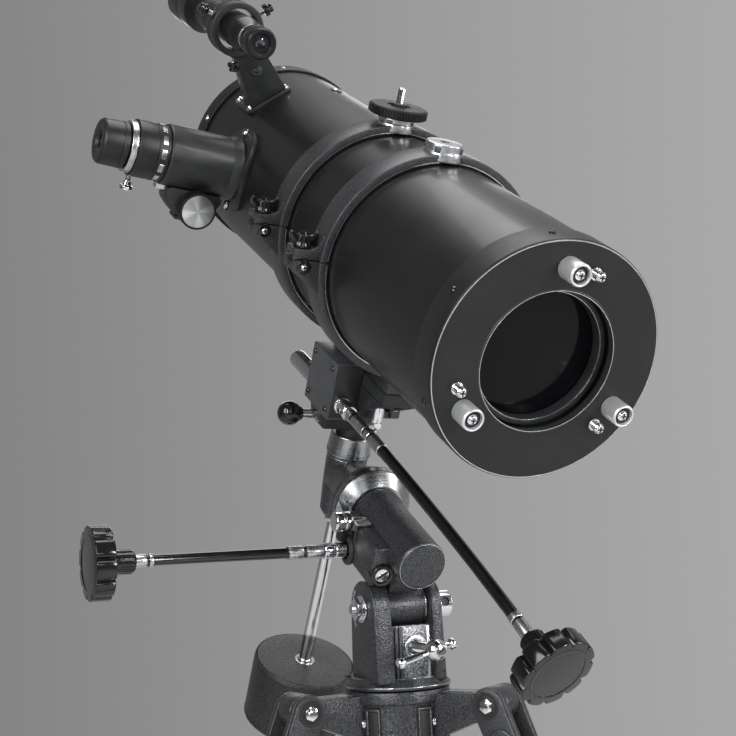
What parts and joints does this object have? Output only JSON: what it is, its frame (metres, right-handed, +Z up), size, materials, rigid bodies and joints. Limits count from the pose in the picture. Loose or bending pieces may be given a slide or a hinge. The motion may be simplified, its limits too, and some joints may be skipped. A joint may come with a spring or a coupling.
{
  "type": "newtonian reflector telescope",
  "caption": "Short-tube reflector telescope in hinged tube rings on a small German equatorial mount with counterweight, slow-motion controls and a folding aluminium tripod.",
  "frame": {"origin": "centre of the bounding box at floor level, under the tripod", "axes": "+Z up; +Y is the horizontal direction under the raised end of the polar axis, so the open end of the tube points towards +Y and up; +X to the right when looking along +Y"},
  "size_m": [0.5074, 0.5554, 1.1448],
  "materials": {
    "tube_paint": "semi-gloss black enamel",
    "satin_black": "satin black",
    "hammertone": "charcoal hammertone paint",
    "cast_black": "black painted casting",
    "chrome": "polished",
    "brushed": "machined and engraved",
    "black_plastic": "moulded",
    "gloss_plastic": "gloss",
    "mirror": "aluminised",
    "iron": "charcoal hammertone paint",
    "aluminium": "satin anodised",
    "flex_sleeve": "extruded sleeve"
  },
  "bodies": {
    "head": {"tripod_head": "hammertone"},
    "azimuth_bolt": {"azimuth_bolt": "black_plastic"},
    "tray": {"accessory_tray": "cast_black"},
    "azimuth": {"azimuth_bracket": "hammertone", "latitude_bolt": "chrome"},
    "latitude_t_bolt": {"latitude_t_bolt": "chrome"},
    "latitude": {"polar_housing": "hammertone", "ra_flex_shaft": "flex_sleeve"},
    "ra_lock_screw": {"ra_lock_screw": "chrome"},
    "ra_worm": {"ra_worm": "chrome"},
    "ra_slow_knob": {"ra_slow_knob": "black_plastic"},
    "ra_setting_circle": {"ra_setting_circle": "brushed"},
    "polar": {"declination_housing": "hammertone", "counterweight_shaft": "chrome", "shaft_end_stop": "chrome"},
    "declination_circle": {"declination_circle": "brushed"},
    "counterweight": {"counterweight": "iron"},
    "counterweight_screw": {"counterweight_screw": "black_plastic"},
    "declination": {"saddle": "cast_black", "dec_flex_shaft": "flex_sleeve", "ring_lower_rear": "hammertone", "ring_lower_front": "hammertone"},
    "dec_lock_knob": {"dec_lock_knob": "gloss_plastic"},
    "dec_worm": {"dec_worm": "chrome"},
    "dec_slow_knob": {"dec_slow_knob": "black_plastic"},
    "ring_upper_rear": {"ring_upper_rear": "hammertone"},
    "ring_upper_front": {"ring_upper_front": "hammertone"},
    "ring_knob_rear": {"ring_knob_rear": "black_plastic"},
    "ring_knob_front": {"ring_knob_front": "black_plastic"},
    "piggyback_knob": {"piggyback_knob": "black_plastic"},
    "optical_tube": {"main_tube": "tube_paint", "rear_cell": "satin_black", "mirror_cell": "cast_black", "primary_mirror": "mirror", "front_ring": "satin_black", "spider": "cast_black", "secondary_mirror": "mirror", "focuser_base": "cast_black", "finder_bracket": "cast_black"},
    "collimation_knob_1": {"collimation_knob_1": "chrome"},
    "collimation_knob_2": {"collimation_knob_2": "chrome"},
    "collimation_knob_3": {"collimation_knob_3": "chrome"},
    "drawtube": {"drawtube": "black_plastic"},
    "eyepiece": {"eyepiece": "black_plastic"},
    "focus_knobs": {"focus_knobs": "black_plastic"},
    "finder_scope": {"finder_scope": "tube_paint"},
    "leg_1": {"leg_upper_1": "aluminium"},
    "leg_lower_1": {"leg_lower_1": "aluminium"},
    "leg_lock_1": {"leg_lock_1": "black_plastic"},
    "brace_1": {"brace_1": "cast_black"},
    "leg_2": {"leg_upper_2": "aluminium"},
    "leg_lower_2": {"leg_lower_2": "aluminium"},
    "leg_lock_2": {"leg_lock_2": "black_plastic"},
    "brace_2": {"brace_2": "cast_black"},
    "leg_3": {"leg_upper_3": "aluminium"},
    "leg_lower_3": {"leg_lower_3": "aluminium"},
    "leg_lock_3": {"leg_lock_3": "black_plastic"},
    "brace_3": {"brace_3": "cast_black"}
  },
  "joints": [
    {"name": "leg_fold_1", "type": "hinge", "parent": "head", "child": "leg_1", "pos_m": [-0.01055, -0.02006, 0.573], "axis": [0.0872, -0.9962, 0], "range_deg": [0, 18]},
    {"name": "leg_slide_1", "type": "slide", "parent": "leg_1", "child": "leg_lower_1", "axis": [-0.3732, -0.0326, -0.9272], "range_m": [0, 0.17]},
    {"name": "leg_lock_turn_1", "type": "hinge", "parent": "leg_1", "child": "leg_lock_1", "pos_m": [-0.1296, -0.03047, 0.27723], "axis": [-0.9237, -0.0808, 0.3746], "continuous": true},
    {"name": "brace_fold_1", "type": "hinge", "parent": "leg_1", "child": "brace_1", "pos_m": [-0.10588, -0.0284, 0.2881], "axis": [0.0872, -0.9962, 0], "range_deg": [0, 28]},
    {"name": "leg_fold_2", "type": "hinge", "parent": "head", "child": "leg_2", "pos_m": [0.10875, -0.07569, 0.573], "axis": [0.8192, 0.5736, 0], "range_deg": [0, 18]},
    {"name": "leg_slide_2", "type": "slide", "parent": "leg_2", "child": "leg_lower_2", "axis": [0.2149, -0.3069, -0.9272], "range_m": [0, 0.17]},
    {"name": "leg_lock_turn_2", "type": "hinge", "parent": "leg_2", "child": "leg_lock_2", "pos_m": [0.17729, -0.17358, 0.27723], "axis": [0.5318, -0.7595, 0.3746], "continuous": true},
    {"name": "brace_fold_2", "type": "hinge", "parent": "leg_2", "child": "brace_2", "pos_m": [0.16364, -0.15408, 0.2881], "axis": [0.8192, 0.5736, 0], "range_deg": [0, 28]},
    {"name": "leg_fold_3", "type": "hinge", "parent": "head", "child": "leg_3", "pos_m": [0.09728, 0.05544, 0.573], "axis": [-0.9063, 0.4226, 0], "range_deg": [0, 18]},
    {"name": "leg_slide_3", "type": "slide", "parent": "leg_3", "child": "leg_lower_3", "axis": [0.1583, 0.3395, -0.9272], "range_m": [0, 0.17]},
    {"name": "leg_lock_turn_3", "type": "hinge", "parent": "leg_3", "child": "leg_lock_3", "pos_m": [0.14778, 0.16375, 0.27723], "axis": [0.3918, 0.8403, 0.3746], "continuous": true},
    {"name": "brace_fold_3", "type": "hinge", "parent": "leg_3", "child": "brace_3", "pos_m": [0.13772, 0.14217, 0.2881], "axis": [-0.9063, 0.4226, 0], "range_deg": [0, 28]},
    {"name": "tray_lift", "type": "slide", "parent": "head", "child": "tray", "axis": [0, 0, 1], "range_m": [0, 0.064]},
    {"name": "azimuth_bolt_turn", "type": "hinge", "parent": "head", "child": "azimuth_bolt", "pos_m": [0.06516, -0.01344, 0.583], "axis": [0, 0, 1], "continuous": true},
    {"name": "azimuth_turn", "type": "hinge", "parent": "head", "child": "azimuth", "pos_m": [0.06516, -0.01344, 0.583], "axis": [0, 0, 1], "continuous": true},
    {"name": "latitude_tilt", "type": "hinge", "parent": "azimuth", "child": "latitude", "pos_m": [0.06516, -0.02203, 0.6375], "axis": [1, 0, 0], "range_deg": [-10, 36]},
    {"name": "t_bolt_turn", "type": "hinge", "parent": "azimuth", "child": "latitude_t_bolt", "pos_m": [0.06816, -0.01344, 0.6105], "axis": [0, -1, 0], "continuous": true},
    {"name": "ra_lock_turn", "type": "hinge", "parent": "latitude", "child": "ra_lock_screw", "pos_m": [0.06516, -0.00882, 0.69716], "axis": [-1, 0, 0], "range_deg": [-60, 60]},
    {"name": "ra_knob_turn", "type": "hinge", "parent": "latitude", "child": "ra_slow_knob", "pos_m": [0.06516, -0.00283, 0.67767], "axis": [-1, 0, 0], "continuous": true},
    {"name": "ra_worm_turn", "type": "hinge", "parent": "latitude", "child": "ra_worm", "pos_m": [0.06516, -0.00283, 0.67767], "axis": [-1, 0, 0], "continuous": true},
    {"name": "ra_turn", "type": "hinge", "parent": "latitude", "child": "polar", "pos_m": [0.06516, -0.04258, 0.6755], "axis": [0, 0.8796, 0.4756], "range_deg": [-28, 88]},
    {"name": "ra_circle_turn", "type": "hinge", "parent": "polar", "child": "ra_setting_circle", "pos_m": [0.06516, -0.04258, 0.6755], "axis": [0, 0.8796, 0.4756], "continuous": true},
    {"name": "dec_circle_turn", "type": "hinge", "parent": "polar", "child": "declination_circle", "pos_m": [0.06516, 0.06412, 0.73319], "axis": [0.0419, -0.4752, 0.8789], "continuous": true},
    {"name": "counterweight_slide", "type": "slide", "parent": "polar", "child": "counterweight", "axis": [0.0419, -0.4752, 0.8789], "range_m": [-0.006, 0.1]},
    {"name": "counterweight_screw_turn", "type": "hinge", "parent": "counterweight", "child": "counterweight_screw", "pos_m": [0.0572, 0.15441, 0.56621], "axis": [0, -0.8796, -0.4756], "continuous": true},
    {"name": "dec_turn", "type": "hinge", "parent": "polar", "child": "declination", "pos_m": [0.06516, 0.06412, 0.73319], "axis": [0.0419, -0.4752, 0.8789], "continuous": true},
    {"name": "dec_lock_turn", "type": "hinge", "parent": "declination", "child": "dec_lock_knob", "pos_m": [0.06715, 0.04155, 0.77494], "axis": [-0.9991, -0.0199, 0.0368], "continuous": true},
    {"name": "dec_knob_turn", "type": "hinge", "parent": "declination", "child": "dec_slow_knob", "pos_m": [0.0664, -0.19537, 0.62651], "axis": [0.1323, -0.7389, -0.6607], "continuous": true},
    {"name": "dec_worm_turn", "type": "hinge", "parent": "declination", "child": "dec_worm", "pos_m": [0.04194, 0.03224, 0.79216], "axis": [0, -0.8796, -0.4756], "continuous": true},
    {"name": "ring_open_rear", "type": "hinge", "parent": "declination", "child": "ring_upper_rear", "pos_m": [0.16067, -0.06686, 0.864], "axis": [0, 0.8796, 0.4756], "range_deg": [0, 105]},
    {"name": "ring_knob_turn_rear", "type": "hinge", "parent": "ring_upper_rear", "child": "ring_knob_rear", "pos_m": [-0.01767, -0.07041, 0.87057], "axis": [0.0419, -0.4752, 0.8789], "continuous": true},
    {"name": "ring_open_front", "type": "hinge", "parent": "declination", "child": "ring_upper_front", "pos_m": [0.16067, 0.00264, 0.90157], "axis": [0, 0.8796, 0.4756], "range_deg": [0, 105]},
    {"name": "ring_knob_turn_front", "type": "hinge", "parent": "ring_upper_front", "child": "ring_knob_front", "pos_m": [-0.01767, -0.00092, 0.90815], "axis": [0.0419, -0.4752, 0.8789], "continuous": true},
    {"name": "piggyback_turn", "type": "hinge", "parent": "ring_upper_front", "child": "piggyback_knob", "pos_m": [0.06925, 0.00081, 0.90494], "axis": [0.0419, -0.4752, 0.8789], "continuous": true},
    {"name": "tube_roll", "type": "hinge", "parent": "declination", "child": "optical_tube", "pos_m": [0.07275, -0.02199, 0.89245], "axis": [0, 0.8796, 0.4756], "continuous": true},
    {"name": "collimation_turn_1", "type": "hinge", "parent": "optical_tube", "child": "collimation_knob_1", "pos_m": [0.07315, -0.04957, 0.94346], "axis": [0, 0.8796, 0.4756], "continuous": true},
    {"name": "collimation_turn_2", "type": "hinge", "parent": "optical_tube", "child": "collimation_knob_2", "pos_m": [0.12328, -0.00845, 0.8674], "axis": [0, 0.8796, 0.4756], "continuous": true},
    {"name": "collimation_turn_3", "type": "hinge", "parent": "optical_tube", "child": "collimation_knob_3", "pos_m": [0.02282, -0.00795, 0.86647], "axis": [0, 0.8796, 0.4756], "continuous": true},
    {"name": "focus", "type": "slide", "parent": "optical_tube", "child": "drawtube", "axis": [-0.9893, -0.0695, 0.1285], "range_m": [0, 0.035]},
    {"name": "focus_knob_turn", "type": "hinge", "parent": "optical_tube", "child": "focus_knobs", "pos_m": [-0.03459, 0.11013, 0.94455], "axis": [0, 0.8796, 0.4756], "range_deg": [-10, 350]},
    {"name": "eyepiece_slide", "type": "slide", "parent": "drawtube", "child": "eyepiece", "axis": [-0.9893, -0.0695, 0.1285], "range_m": [0, 0.032]},
    {"name": "finder_aim", "type": "hinge", "parent": "optical_tube", "child": "finder_scope", "pos_m": [-0.0067, 0.06787, 1.07001], "axis": [0.8192, -0.2728, 0.5045], "range_deg": [-1.5, 1.5]}
  ],
  "couplings": [
    {"joint": "leg_fold_2", "follows": "leg_fold_1", "ratio": 1},
    {"joint": "leg_fold_3", "follows": "leg_fold_1", "ratio": 1},
    {"joint": "brace_fold_1", "follows": "leg_fold_1", "ratio": 1.338},
    {"joint": "brace_fold_2", "follows": "leg_fold_1", "ratio": 1.338},
    {"joint": "brace_fold_3", "follows": "leg_fold_1", "ratio": 1.338},
    {"joint": "tray_lift", "follows": "leg_fold_1", "m_per_rad": 0.196},
    {"joint": "ra_worm_turn", "follows": "ra_knob_turn", "ratio": 1},
    {"joint": "dec_worm_turn", "follows": "dec_knob_turn", "ratio": 1},
    {"joint": "focus_knob_turn", "follows": "focus", "rad_per_m": 166.7}
  ]
}
